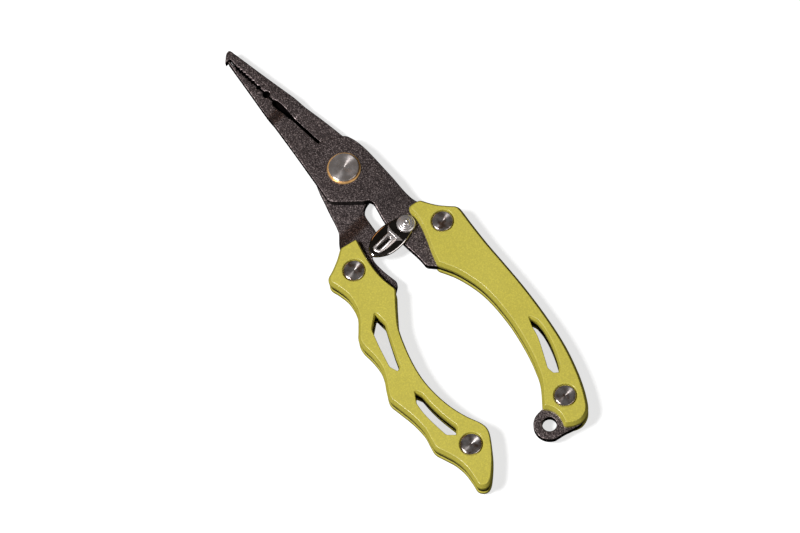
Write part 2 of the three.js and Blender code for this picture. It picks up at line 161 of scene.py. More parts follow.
def offset(loop, distance):
    """The loop moved to its left, by one distance or one for each point. Where that would fold it
    over, it is drawn together to a point."""
    distance = np.broadcast_to(distance, len(loop))
    if not distance.any():
        return loop.copy()
    side = np.roll(loop, -1, 0) - loop
    unit = side / np.linalg.norm(side, axis=1)[:, None]
    left = np.stack([-unit[:, 1], unit[:, 0]], axis=1)
    middle = left + np.roll(left, 1, 0)
    moved = loop + middle * (2 * distance / (middle**2).sum(1))[:, None]
    n = len(loop)
    for _ in range(10):
        along = ((np.roll(moved, -1, 0) - moved) * unit).sum(1)
        if (along > -1e-7).all():
            break
        folded = along <= 1e-7
        for first in [i for i in range(n) if folded[i] and not folded[i - 1]]:
            last = first
            while folded[(last + 1) % n]:
                last += 1
            a, b = moved[first - 1], moved[(last + 2) % n]
            u, v = unit[first - 1], unit[(last + 1) % n]
            cross = u[0] * v[1] - u[1] * v[0]
            if abs(cross) < 1e-6:
                meet = (moved[first] + moved[(last + 1) % n]) / 2
            else:
                meet = a + u * ((b - a)[0] * v[1] - (b - a)[1] * v[0]) / cross
            for i in range(first, last + 2):
                moved[i % n] = meet
    return moved


def inside(point, loop):
    x, y = loop.T
    x2, y2 = np.roll(x, -1), np.roll(y, -1)
    crosses = (y > point[1]) != (y2 > point[1])
    at = x + (point[1] - y) * (x2 - x) / np.where(y2 == y, 1, y2 - y)
    return (crosses & (point[0] < at)).sum() % 2 == 1


def crossings(a, b):
    """Where the sides of two loops cross, as (index in a, share along it, index in b, point)."""
    found = []
    for i in range(len(a)):
        p, r = a[i], a[(i + 1) % len(a)] - a[i]
        q, s = b, np.roll(b, -1, 0) - b
        cross = r[0] * s[:, 1] - r[1] * s[:, 0]
        with np.errstate(divide="ignore", invalid="ignore"):
            t = ((q - p)[:, 0] * s[:, 1] - (q - p)[:, 1] * s[:, 0]) / cross
            u = ((q - p)[:, 0] * r[1] - (q - p)[:, 1] * r[0]) / cross
        for j in np.flatnonzero((t >= 0) & (t < 1) & (u >= 0) & (u < 1)):
            found.append((i, t[j], int(j), p + t[j] * r))
    return sorted(found, key=lambda c: c[:2])


def joined(a, b):
    """The outline of two counter-clockwise loops that cross at two places."""
    (i1, _, j1, p1), (i2, _, j2, p2) = crossings(a, b)
    n, m = len(a), len(b)

    def walk(loop, start, end, count):
        indices = [(start + 1 + k) % count for k in range((end - start) % count)]
        return [loop[k] for k in indices]

    if inside(a[(i1 + 1) % n], b):          # a goes into b at the first crossing
        i1, j1, p1, i2, j2, p2 = i2, j2, p2, i1, j1, p1
    outline = [p1, *walk(a, i1, i2, n), p2, *walk(b, j2, j1, m)]
    kept = [p for p, q in zip(outline, outline[1:] + outline[:1]) if np.linalg.norm(p - q) > 0.02]
    return np.array(kept)


# ---------------------------------------------------------------- the object's outlines
scalloped_grip = trace([
    (-20.2, 14.3, 0.9), (-18.7, 20.2, 0.9),
    (-20.5, 23.2), (-22.1, 26.8), (-23.1, 29.6), (-25.0, 30.7), (-28.0, 30.2), (-32.0, 29.9),
    (-36.0, 30.8), (-39.4, 32.6), (-42.4, 35.4), (-44.6, 37.5), (-47.5, 38.4), (-51.5, 38.5),
    (-56.0, 39.2), (-59.6, 41.0), (-62.6, 43.1), (-65.6, 44.7), (-69.6, 44.5), (-75.0, 44.1),
    (-80.4, 44.4), (-84.0, 45.5), (-87.0, 46.2), (-90.5, 45.3), (-94.0, 44.4), (-98.0, 44.2),
    (-102.0, 44.9), (-105.0, 45.5), (-106.9, 43.8), (-106.2, 41.0),
    (-102.0, 36.0), (-97.6, 32.2), (-94.4, 30.3), (-91.4, 30.3),
    (-86.5, 31.9), (-81.0, 33.0), (-75.0, 33.3), (-69.0, 32.8), (-63.0, 31.3), (-57.0, 29.0),
    (-51.0, 26.0), (-46.0, 21.9), (-41.2, 17.5, 0.8),
    (-36.5, 17.9), (-31.5, 17.5), (-26.0, 16.2),
])
thumb_grip = trace([
    (-24.3, -6.2, 0.9), (-24.5, -5.0), (-25.8, -4.1), (-28.5, -3.9), (-32.0, -3.0), (-36.0, -1.3),
    (-40.2, 0.8), (-44.7, 2.7, 0.8),
    (-50.0, 0.5), (-55.0, -0.7), (-60.0, -1.3), (-65.0, -1.2), (-70.0, -0.6), (-75.0, 0.3),
    (-80.0, 1.6), (-85.0, 3.2), (-90.0, 5.2), (-95.0, 7.9), (-101.6, 13.8, 0.7),
    (-103.4, 12.4), (-105.8, 11.8), (-108.3, 12.2), (-110.4, 13.2, 0.7),
    (-112.4, 10.6), (-113.2, 7.6), (-112.0, 4.2), (-108.5, 1.4), (-104.0, -1.2), (-99.0, -3.5),
    (-93.0, -5.8), (-86.0, -7.8), (-78.0, -9.6), (-69.0, -11.2), (-60.0, -12.4), (-51.0, -13.5),
    (-43.0, -14.8), (-37.0, -15.9), (-35.0, -15.7, 0.9),
    (-32.6, -13.6), (-29.8, -11.5), (-25.1, -9.1, 0.9),
])
scalloped_windows = [
    trace([
        (-60.8, 36.4, 0.4), (-60.2, 35.0, 0.4), (-56.0, 33.0), (-51.0, 30.4), (-46.8, 28.1, 0.6),
        (-42.4, 28.0, 0.7), (-45.3, 32.3, 0.7), (-51.0, 34.6), (-58.2, 37.1, 0.6),
    ]),
    trace([
        (-88.5, 38.5, 0.6), (-86.8, 36.6, 0.6), (-81.0, 37.1), (-76.0, 37.1), (-71.8, 36.7, 0.5),
        (-69.6, 37.5, 0.5), (-72.6, 39.7, 0.6), (-76.5, 40.4), (-81.0, 40.6), (-86.5, 40.5, 0.6),
    ]),
]
thumb_windows = [
    trace([
        (-97.1, 2.0, 0.4), (-95.7, 0.4, 0.5), (-92.0, -1.7), (-88.0, -3.5), (-84.0, -4.8),
        (-80.6, -5.3, 0.5), (-78.0, -4.5, 0.5), (-80.8, -3.1, 0.5), (-84.5, -1.9), (-89.0, 0.5),
        (-93.8, 3.3, 0.5), (-96.2, 3.2, 0.4),
    ]),
]


def toothed_edge(edge, side):
    """Notches along a jaw's edge, cut into the jaw on that side of the seam (+1 is +Y)."""
    points = []
    for i in range(TEETH["count"]):
        x = TEETH["start"] + i * TEETH["pitch"]
        points.append((x, edge, 0))
        points.append((x + 0.3 * TEETH["pitch"], edge + side * TEETH["depth"], 0))
        points.append((x + 0.65 * TEETH["pitch"], edge, 0))
    return points


def crimp_notch(x, radius, edge, side):
    """A jaw's share of a crimping hole, bitten out of its edge on that side (+1 is +Y)."""
    pieces = 12
    centre = SEAM - JAW_GAP / 2
    lift = abs(edge - centre)
    start = math.pi - math.asin(lift / radius)
    points = []
    for i in range(pieces + 1):
        angle = start + (math.pi - 2 * start) * i / pieces
        points.append((x + radius * math.cos(angle), centre + side * radius * math.sin(angle), 0))
    return points


def front_plate_outline():
    head = trace([
        (8.0, -8.3, 0.8), (12.2, -1.7, 0.2), (12.2, -0.4, 0.3), (24.6, -0.4, 0.3),
        (25.4, -0.1, 0.4), (33.0, -0.1, 0.4), (33.9, -0.6, 0.3), (34.1, SEAM, 0.15),
        *crimp_notch(*CRIMP_HOLES[0], SEAM, 1), *crimp_notch(*CRIMP_HOLES[1], SEAM, 1),
        *toothed_edge(SEAM, 1), (54.7, SEAM - 0.15, 0.1), (54.7, -0.5, 0.3),
        (43.0, 1.8), (31.0, 4.2), (15.0, 7.2), (-4.2, 11.1, 0.7), (-5.4, 10.6, 0.4),
        (-9.0, 7.1), (-12.4, 3.6), (-13.6, 2.1), (-15.0, 1.6), (-17.0, 2.1), (-21.0, 3.2),
        (-26.0, 4.1), (-32.0, 4.4), (-38.0, 4.4), (-41.9, 4.8, 0.8), (-45.2, 2.0, 0.3),
        (-45.0, -6.0, 0), (-32.0, -12.0, 0), (-25.2, -8.9),
        (-20.0, -8.2), (-12.0, -8.8), (-5.0, -9.4), (0.0, -9.7), (4.0, -9.5), (6.6, -8.9),
    ])
    lug_end = LUG[1] - 2.0
    lug = trace([
        (-100.0, 9.0, 0), (LUG[0] + LUG_RADIUS, lug_end, 0),
        *[tuple(p) for p in circle(*LUG, LUG_RADIUS, 32)[:15]],
        (-111.6, 14.0), (-112.6, 11.0), (-112.85, 7.6), (-108.0, 6.0, 0),
    ])
    return joined(joined(head, offset(thumb_grip, PLATE_INSET)), lug)


def rear_plate_outline():
    edge = SEAM - JAW_GAP
    head = trace([
        (55.0, edge - 0.3, 0.1), (55.1, 0.35, 0.15), (56.2, -0.9), (57.3, -2.3), (57.4, -3.6),
        (56.4, -4.0, 0.4), (40.0, -5.6), (20.0, -7.8), (9.0, -8.6, 0.5), (4.0, -9.2),
        (-1.0, -9.2), (-6.0, -8.0), (-10.0, -5.2), (-12.2, -1.0), (-12.6, 2.4), (-13.6, 4.6),
        (-15.8, 6.1), (-18.6, 6.9), (-22.0, 7.6, 0.4), (-23.6, 9.4), (-25.0, 12.0, 0.3),
        (-26.3, 12.0, 0.3), (-26.4, 13.4, 0.3), (-27.4, 14.7, 0.4),
        (-30.0, 15.3), (-34.0, 15.4), (-38.8, 15.0, 0.6), (-39.7, 15.5, 0.3),
        (-41.6, 18.5, 0.3), (-38.0, 24.0, 0), (-24.0, 24.0, 0), (-19.6, 20.9, 0.5),
        (-16.4, 18.6), (-13.4, 15.9), (-10.6, 14.5), (-6.0, 12.9), (-2.0, 11.4), (2.0, 9.9),
        (5.6, 8.0), (8.4, 4.6), (10.0, 0.6), (11.4, -2.0, 0.3),
        (25.0, -1.9, 0.5), (27.6, -2.1), (31.0, -2.2), (33.6, -2.0, 0.4), (34.1, edge, 0.15),
        *crimp_notch(*CRIMP_HOLES[0], edge, -1), *crimp_notch(*CRIMP_HOLES[1], edge, -1),
        *toothed_edge(edge, -1),
    ])
    return joined(head, offset(scalloped_grip, PLATE_INSET))


# ---------------------------------------------------------------- meshes
def finish_mesh(bm, name, material, node, body):
    """The piece made from bm (millimetres), standing for that CAD node."""
    bmesh.ops.remove_doubles(bm, verts=bm.verts, dist=1e-4)
    bmesh.ops.dissolve_degenerate(bm, edges=bm.edges, dist=1e-5)
    bmesh.ops.recalc_face_normals(bm, faces=bm.faces)
    bm.normal_update()
    for face in bm.faces:
        face.smooth = True
    for edge in bm.edges:
        edge.smooth = len(edge.link_faces) == 2 and edge.calc_face_angle(0) < SHARP
    bmesh.ops.scale(bm, vec=(MM, MM, MM), verts=bm.verts)
    mesh = bpy.data.meshes.new(name)
    bm.to_mesh(mesh)
    bm.free()
    mesh.materials.append(material)
    piece = bpy.data.objects.new(name, mesh)
    bpy.context.scene.collection.objects.link(piece)
    weighted = piece.modifiers.new("weighted_normals", "WEIGHTED_NORMAL")
    weighted.keep_sharp = True
    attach(piece, body)
    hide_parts(node)


def cap(bm, rings, up):
    """Fills between the outer ring and the holes' rings, all of them lists of vertices."""
    verts = [v for ring in rings for v in ring]
    edges, start = [], 0
    for ring in rings:
        n = len(ring)
        edges += [(start + i, start + (i + 1) % n) for i in range(n)]
        start += n
    points = [v.co.xy for v in verts]
    holes = [np.array([v.co.xy for v in ring]) for ring in rings[1:]]
    _, _, faces, origins, _, _ = delaunay_2d_cdt(points, edges, [], 1, 1e-5)
    for face in faces:
        corners = [verts[origins[k][0]] for k in face]
        middle = np.mean([v.co.xy for v in corners], axis=0)
        if len(set(corners)) == 3 and not any(inside(middle, hole) for hole in holes):
            bm.faces.new(corners if up else corners[::-1])


def walled(walls):
    """A closed solid from walls, each (loop, profile, is it a hole) and, if its top bevel narrows, the
    share of it at each point. A profile is (how far into the material, height) from bottom to top."""
    bm = bmesh.new()
    bottoms, tops = [], []
    for loop, profile, hole, *shares in walls:
        share = shares[0] if shares else np.ones(len(loop))
        top = profile[-1][1]
        bevel_start = max(z for d, z in profile if d == 0) - 0.3
        rings = []
        for d, z in profile:
            ring = offset(loop, -d * share if hole else d * share)
            heights = top - (top - z) * share if shares and z > bevel_start else np.full(len(loop), z)
            rings.append([bm.verts.new((x, y, h)) for (x, y), h in zip(ring, heights)])
        for low, high in zip(rings, rings[1:]):
            for i in range(len(loop)):
                k = (i + 1) % len(loop)
                quad = [low[i], low[k], high[k], high[i]]
                bm.faces.new(quad[::-1] if hole else quad)
        bottoms.append(rings[0])
        tops.append(rings[-1])
    cap(bm, bottoms, False)
    cap(bm, tops, True)
    return bm


def rounded(points, radius, pieces=4):
    """The open line through points with each inner corner turned into a small arc-like curve."""
    line = [np.array(p, float) for p in points]
    last = len(line) - 2
    made = [points[0]]
    for i in range(1, last + 1):
        p, q, r = line[i - 1:i + 2]
        before, after = np.linalg.norm(p - q), np.linalg.norm(r - q)
        reach = min(radius, before * (0.99 if i == 1 else 0.49), after * (0.99 if i == last else 0.49))
        start, end = q + (p - q) / before * reach, q + (r - q) / after * reach
        for t in np.linspace(0, 1, pieces):
            made.append(tuple((1 - t) ** 2 * start + 2 * t * (1 - t) * q + t**2 * end))
    return made + [points[-1]]


def mirrored(bm):
    """The same solid turned over to the rear face."""
    for v in bm.verts:
        v.co.z = TOP - v.co.z
    return bm


def turned(profile, x=0.0, y=0.0, sides=96):
    """A turned solid about an axis along Z. The profile is (radius, z), from axis to axis or closed."""
    bm = bmesh.new()
    on_axis = profile[0][0] == 0
    rings = []
    for radius, z in profile:
        if radius == 0:
            rings.append([bm.verts.new((x, y, z))] * sides)
        else:
            rings.append([bm.verts.new((px, py, z)) for px, py in circle(x, y, radius, sides)])
    pairs = list(zip(rings, rings[1:])) + ([] if on_axis else [(rings[-1], rings[0])])
    for low, high in pairs:
        for i in range(sides):
            k = (i + 1) % sides
            face = list(dict.fromkeys([low[i], low[k], high[k], high[i]]))
            bm.faces.new(face)
    return bm


def merged(*parts):
    """Several solids in one mesh."""
    whole = bmesh.new()
    for part in parts:
        mesh = bpy.data.meshes.new("part")
        part.to_mesh(mesh)
        part.free()
        whole.from_mesh(mesh)
        bpy.data.meshes.remove(mesh)
    return whole


# ---------------------------------------------------------------- material helpers
def new_material(name):
    material = bpy.data.materials.new(name)
    material.use_nodes = True
    tree = material.node_tree
    return material, tree, tree.nodes["Principled BSDF"]


def add(tree, kind, **inputs):
    """A node with its inputs set or linked."""
    node = tree.nodes.new(kind)
    for key, value in inputs.items():
        socket = node.inputs[key]
        if isinstance(value, bpy.types.NodeSocket):
            tree.links.new(value, socket)
        else:
            socket.default_value = value
    return node


def ramp(tree, factor, stops):
    node = tree.nodes.new("ShaderNodeValToRGB")
    tree.links.new(factor, node.inputs["Fac"])
    elements = node.color_ramp.elements
    while len(elements) < len(stops):
        elements.new(0.5)
    for element, (position, colour) in zip(elements, stops):
        element.position = position
        element.color = (*colour, 1) if isinstance(colour, tuple) else (colour, colour, colour, 1)
    return node.outputs["Color"]


def object_point(tree):
    return tree.nodes.new("ShaderNodeTexCoord").outputs["Object"]


def noise(tree, point, scale, detail=3.0, roughness=0.5):
    node = add(tree, "ShaderNodeTexNoise", Vector=point, Scale=scale, Detail=detail, Roughness=roughness)
    return node.outputs["Fac"]


def bump(tree, height, distance, strength, normal=None):
    node = add(tree, "ShaderNodeBump", Height=height, Distance=distance, Strength=strength)
    if normal is not None:
        tree.links.new(normal, node.inputs["Normal"])
    return node.outputs["Normal"]


def link(tree, output, shader, name):
    tree.links.new(output, shader.inputs[name])


def mixed(tree, factor, a, b, mode="MIX"):
    """A colour mix of a and b, each a socket or a colour."""
    node = tree.nodes.new("ShaderNodeMix")
    node.data_type = "RGBA"
    node.blend_type = mode
    for socket, value in ((node.inputs["Factor"], factor), (node.inputs[6], a), (node.inputs[7], b)):
        if isinstance(value, bpy.types.NodeSocket):
            tree.links.new(value, socket)
        else:
            socket.default_value = (*value, 1) if isinstance(value, tuple) else value
    return node.outputs[2]


# ---------------------------------------------------------------- materials
def facing_up(tree, low, high):
    """1 on faces that look along the pivot axis, falling to 0 on the side walls."""
    normal = tree.nodes.new("ShaderNodeTexCoord").outputs["Normal"]
    z = add(tree, "ShaderNodeSeparateXYZ", Vector=normal).outputs["Z"]
    steepness = tree.nodes.new("ShaderNodeMath")
    steepness.operation = "ABSOLUTE"
    tree.links.new(z, steepness.inputs[0])
    return ramp(tree, steepness.outputs[0], [(low, 0.0), (high, 1.0)])


def coated_steel():
    """Dark metallic coating with a fine sparkling grain; its side walls are painted near-black and
    non-metallic, as painted shade.
    """
    material, tree, shader = new_material("dark_coating")
    point = object_point(tree)
    grain = noise(tree, point, 3000, 2.0, 0.7)
    patches = noise(tree, point, 60, 3.0, 0.5)
    top = ramp(tree, grain, [(0.34, (0.026, 0.021, 0.021)), (0.50, (0.089, 0.070, 0.070)),
                             (0.58, (0.175, 0.141, 0.139)), (0.68, (0.550, 0.460, 0.450))])
    up = facing_up(tree, 0.25, 0.6)
    # Painted shade: the side walls get a near-black base colour and no metallic reflection.
    link(tree, mixed(tree, up, (0.003, 0.002, 0.002), top), shader, "Base Color")
    shader.inputs["Specular IOR Level"].default_value = 0.08
    link(tree, mixed(tree, up, (0.0, 0.0, 0.0), (1.0, 1.0, 1.0)), shader, "Metallic")
    link(tree, ramp(tree, patches, [(0.3, 0.42), (0.7, 0.48)]), shader, "Roughness")
    link(tree, bump(tree, grain, 0.00004, 0.5), shader, "Normal")
    return material


def lime_paint():
    """Satin yellow-green paint with a fine metallic fleck and a faint orange-peel surface."""
    material, tree, shader = new_material("lime_paint")
    point = object_point(tree)
    fleck = noise(tree, point, 2300, 1.0, 0.5)
    peel = noise(tree, point, 420, 2.0, 0.5)
    patches = noise(tree, point, 45, 3.0, 0.55)
    base = ramp(tree, patches, [(0.35, (0.475, 0.415, 0.060)), (0.65, (0.500, 0.440, 0.069))])
    glint = ramp(tree, fleck, [(0.34, 0.90), (0.55, 1.0), (0.74, 1.14)])
    link(tree, mixed(tree, 1.0, base, glint, "MULTIPLY"), shader, "Base Color")
    link(tree, ramp(tree, fleck, [(0.35, 0.42), (0.7, 0.34)]), shader, "Roughness")
    fine = bump(tree, fleck, 0.000012, 0.4)
    link(tree, bump(tree, peel, 0.00003, 0.25, fine), shader, "Normal")
    shader.inputs["Specular IOR Level"].default_value = 0.4
    shader.inputs["Coat Weight"].default_value = 0.3
    shader.inputs["Coat Roughness"].default_value = 0.16
    return material


def turned_steel(name, painted_reflection_tint, metallic):
    """Face-turned stainless steel with a stretched highlight and blotches of the given tint, which are
    painted reflections of a dark brownish room.
    """
    material, tree, shader = new_material(name)
    point = object_point(tree)
    uneven = noise(tree, point, 450, 3.0, 0.6)
    # Painted reflection: blotches of the brown tint stand in for a dark brownish room mirrored in the steel.
    link(tree, ramp(tree, uneven, [(0.36, painted_reflection_tint), (0.50, (0.58, 0.52, 0.50)),
                                   (0.70, (0.78, 0.73, 0.72))]), shader, "Base Color")
    link(tree, ramp(tree, uneven, [(0.3, 0.18), (0.7, 0.25)]), shader, "Roughness")
    shader.inputs["Metallic"].default_value = metallic
    shader.inputs["Anisotropic"].default_value = 0.85
    shader.inputs["Anisotropic Rotation"].default_value = 0.25
    tangent = tree.nodes.new("ShaderNodeTangent")
    tangent.direction_type = "RADIAL"
    tangent.axis = "Z"
    link(tree, tangent.outputs["Tangent"], shader, "Tangent")
    return material


def simple_metal(name, colour, roughness, spread, scale=300, metallic=1.0):
    """Metal of one colour, a little uneven, with its roughness varying by spread."""
    material, tree, shader = new_material(name)
    point = object_point(tree)
    uneven = noise(tree, point, scale, 3.0, 0.6)
    darker = tuple(c * 0.85 for c in colour)
    link(tree, ramp(tree, uneven, [(0.3, darker), (0.7, colour)]), shader, "Base Color")
    link(tree, ramp(tree, uneven, [(0.3, roughness), (0.7, roughness + spread)]), shader, "Roughness")
    shader.inputs["Metallic"].default_value = metallic
    return material


def studio_floor():
    material, tree, shader = new_material("pale_floor")
    point = object_point(tree)
    link(tree, ramp(tree, noise(tree, point, 8), [(0.3, 0.40), (0.7, 0.43)]), shader, "Base Color")
    shader.inputs["Roughness"].default_value = 0.9
    shader.inputs["Emission Color"].default_value = (1, 1, 1, 1)
    shader.inputs["Emission Strength"].default_value = 0.7
    return material


COATING = coated_steel()
LIME = lime_paint()
TURNED = turned_steel("turned_steel", (0.30, 0.19, 0.14), 0.90)
# A lighter copy of the same turned steel for the pivot bolt and nut: lighter painted reflections and less
# metal, so it is painted lighter.
TURNED_PAINTED_LIGHTER = turned_steel("turned_steel_painted_lighter", (0.52, 0.46, 0.43), 0.80)
# Near-black for the ledge under the jaws' seam: painted shade that keeps the slot between the jaws dark.
PAINTED_SHADE_BLACK = simple_metal("painted_shade_black", (0.004, 0.003, 0.003), 0.55, 0.1)
BRASS = simple_metal("washer_brass", (0.80, 0.46, 0.17), 0.28, 0.12, metallic=0.55)
SPRING = simple_metal("spring_wire", (0.45, 0.45, 0.46), 0.25, 0.15)
CHROME = simple_metal("polished_chrome", (0.86, 0.80, 0.77), 0.09, 0.05, scale=160)
# Painted highlight: a lighter, less metallic copy of the lever's chrome for its raised parts and rivet,
# standing in for their bright reflections.
CHROME_PAINTED_BRIGHTER = simple_metal("chrome_painted_brighter", (0.74, 0.69, 0.68), 0.22, 0.10, scale=160, metallic=0.78)


# ---------------------------------------------------------------- camera, first of all that is made
def studio_camera():
    """A long lens from above, at the usual catalogue tilt, rolled a little."""
    azimuth, elevation, roll = (math.radians(a) for a in (234.83, 69.3, 10.4))
    aim = Vector((-35.56, 10.40, 4.6)) * MM
    distance = 948.7 * MM
    back = Vector((math.sin(azimuth) * math.cos(elevation),
                   -math.cos(azimuth) * math.cos(elevation), math.sin(elevation)))
    level_right = Vector((0, 0, 1)).cross(back).normalized()
    level_up = back.cross(level_right)
    right = level_right * math.cos(roll) - level_up * math.sin(roll)
    up = level_up * math.cos(roll) + level_right * math.sin(roll)
    data = bpy.data.cameras.new("camera")
    data.lens = 135
    data.sensor_width = 36
    camera = bpy.data.objects.new("camera", data)
    turn = Matrix((right, up, back)).transposed().to_4x4()
    camera.matrix_world = Matrix.Translation(aim + back * distance) @ turn
    bpy.context.scene.collection.objects.link(camera)
    bpy.context.scene.camera = camera


studio_camera()


# ---------------------------------------------------------------- lever plates
def eased(edge):
    """A plate wall's profile with its two rims softened by edge."""
    bottom = [(edge * (1 - math.sin(a)), PLATE_BOTTOM + edge * (1 - math.cos(a)))
              for a in np.linspace(0, math.pi / 2, 4)]
    top = [(edge * (1 - math.cos(a)), PLATE_TOP - edge * (1 - math.sin(a)))
           for a in np.linspace(0, math.pi / 2, 4)]
    return bottom + top


def rise(x, start, end):
    """0 before a ramp and 1 after it, straight along it, with a bend at each end."""
    t = (x - start) / (end - start)
    soft = min(0.45, BEND / (end - start))
    if t <= -soft:
        return 0.0
    if t < soft:
        return (t + soft) ** 2 / (4 * soft)
    if t <= 1 - soft:
        return t
    return 1.0 if t >= 1 + soft else 1 - (1 + soft - t) ** 2 / (4 * soft)


def bent(bm, side, ramps):
    """The flat plate cut along its bends and stepped to that side between its two ramps."""
    margin, cuts = 1.4, 15
    for start, end in ramps:
        for x in np.linspace(start - margin, end + margin, cuts):
            geometry = bm.verts[:] + bm.edges[:] + bm.faces[:]
            bmesh.ops.bisect_plane(bm, geom=geometry, plane_co=(x, 0, 0), plane_no=(1, 0, 0), dist=1e-5)
    handle_ramp, jaw_ramp = ramps
    for v in bm.verts:
        v.co.z += side * JOGGLE * min(rise(v.co.x, *handle_ramp), 1 - rise(v.co.x, *jaw_ramp))


def bore_profile(pocket_low):
    """The pivot bore's wall, opening into the torsion spring's pocket on the plate's inner face."""
    edge = POCKET["radius"] - PIVOT_BORE
    if pocket_low:
        floor = PLATE_BOTTOM + POCKET["depth"]
        return [(edge, PLATE_BOTTOM), (edge, floor), (0, floor), (0, PLATE_TOP)]
    floor = PLATE_TOP - POCKET["depth"]
    return [(0, PLATE_BOTTOM), (0, floor), (edge, floor), (edge, PLATE_TOP)]


def ledge(grow, low, high):
    """The thin ledge along the rear jaw's underside, or the front jaw's pocket for it when grown."""
    points = [(9.5 - grow, -2.6 - grow), (33, -2.6 - grow), (53.2 + grow, -2 - grow),
              (53.2 + grow, -1 + grow), (50.5, -0.6 + grow), (47, -0.35 + grow), (40, 0.35 + grow),
              (30, 0.9 + grow), (9.5 - grow, 0.5 + grow)]
    return walled([(np.array(points, float), [(0, low), (0, high)], False)])


def carved(bm, cutter):
    """The first solid less the second."""
    objects = []
    for source in (bm, cutter):
        mesh = bpy.data.meshes.new("carving")
        bmesh.ops.remove_doubles(source, verts=source.verts, dist=1e-4)
        bmesh.ops.recalc_face_normals(source, faces=source.faces)
        source.to_mesh(mesh)
        source.free()
        shape = bpy.data.objects.new("carving", mesh)
        bpy.context.scene.collection.objects.link(shape)
        objects.append(shape)
    body, tool = objects
    modifier = body.modifiers.new("carve", "BOOLEAN")
    modifier.object = tool
    modifier.solver = "EXACT"
    result = bmesh.new()
    result.from_mesh(body.evaluated_get(bpy.context.evaluated_depsgraph_get()).to_mesh())
    for shape in objects:
        bpy.data.meshes.remove(shape.data)
    return result


def plate(outline, windows, bolts, extra_holes, pocket_low):
    walls = [(outline, eased(0.3), False)]
    walls += [(window, eased(0.15), True) for window in windows]
    walls += [(circle(x, y, BOLT_BORE, 48), eased(0.15), True) for x, y in bolts]
    walls += [(circle(x, y, radius, 64), eased(edge), True) for x, y, radius, edge in extra_holes]
    walls.append((circle(0, 0, PIVOT_BORE, 96), bore_profile(pocket_low), True))
    return walled(walls)


def lever_plates():
    front = plate(front_plate_outline(), thumb_windows, GRIP_BOLTS["thumb"],
                  [(*LUG, LUG_HOLE, 0.3), (*LOCK, LOCK_BORE, 0.1)], True)
    bent(front, 1, FRONT_RAMPS)
    pocket_top = PLATE_BOTTOM + LEDGE["thickness"] + LEDGE["clearance"]
    front = carved(front, ledge(LEDGE["clearance"], PLATE_BOTTOM - 1, pocket_top))
    finish_mesh(front, "front_lever_plate_coated", COATING, "front_lever_plate", "front_lever")
    rear = plate(rear_plate_outline(), scalloped_windows, GRIP_BOLTS["scalloped"], [], False)
    bent(rear, -1, REAR_RAMPS)
    clear_of_rim = 0.02
    # The ledge is a near-black sheet under the seam: painted shade that keeps the slot between the jaws
    # dark.
    under_seam = ledge(0, PLATE_BOTTOM + clear_of_rim, PLATE_BOTTOM + LEDGE["thickness"])
    bent(under_seam, -1, REAR_RAMPS)
    finish_mesh(under_seam, "rear_lever_jaw_ledge_painted_shade", PAINTED_SHADE_BLACK, "rear_lever_plate", "rear_lever")
    finish_mesh(rear, "rear_lever_plate_coated", COATING, "rear_lever_plate", "rear_lever")


lever_plates()


# ---------------------------------------------------------------- grips
def bevel_share(loop, hole, away):
    """The share of the full bevel at each point: 1 on the sides that face +Y, away on those facing -Y,
    with a gradual change between them."""
    side = np.roll(loop, -1, 0) - np.roll(loop, 1, 0)
    facing = side[:, 0] / np.linalg.norm(side, axis=1) * (1 if hole else -1)
    share = 1 - (1 - away) * np.clip((0.15 - facing) / 0.6, 0, 1)
    for _ in range(3):
        share = (np.roll(share, 1) + share + np.roll(share, -1)) / 3
    return share


def grip_scale(outline, windows, bolts, inner_share):
    """A front grip. inner_share is how much of its bevel the sides that face -Y keep."""
    width, depth = GRIP_CHAMFER["width"], GRIP_CHAMFER["depth"]
    outer = rounded([(0.12, PLATE_TOP), (0, PLATE_TOP + 0.12), (0, TOP - depth),
                     (width, TOP), (width + 0.2, TOP)], 0.26, 5)
    width, depth = WINDOW_CHAMFER["width"], WINDOW_CHAMFER["depth"]
    opening = rounded([(0, PLATE_TOP), (0, TOP - depth), (width, TOP), (width + 0.2, TOP)], 0.3, 5)
    step, floor_z = RECESS - BOLT_BORE, TOP - RECESS_DEPTH
    recess = rounded([(0, PLATE_TOP), (0, floor_z), (step, floor_z), (step, TOP - 0.25),
                      (step + 0.25, TOP), (step + 0.35, TOP)], 0.15, 4)
    walls = [(outline, outer, False, bevel_share(outline, False, inner_share))]
    walls += [(window, opening, True, bevel_share(window, True, WINDOW_SHARE)) for window in windows]
    walls += [(circle(x, y, BOLT_BORE, 72), recess, True) for x, y in bolts]
    return walled(walls)


def grips():
    for handle, outline, windows, body, inner_share in (
        ("thumb", thumb_grip, thumb_windows, "front_lever", 1.0),
        ("scalloped", scalloped_grip, scalloped_windows, "rear_lever", 0.5),
    ):
        for side, turn in (("front", lambda bm: bm), ("rear", mirrored)):
            node = f"{handle}_grip_{side}"
            made = turn(grip_scale(outline, windows, GRIP_BOLTS[handle], inner_share))
            finish_mesh(made, f"{node}_painted", LIME, node, body)


grips()


# ---------------------------------------------------------------- turned hardware
def head_rim(radius, inner_z, top_z, crown_z):
    """A turned head from its underside round the rim to the axis, slightly dished to crown_z."""
    points = [(radius, inner_z), (radius, top_z), (radius - 0.3, top_z + 0.12), (0.25, crown_z)]
    return rounded(points, 0.18, 5) + [(0.0, crown_z - 0.06)]


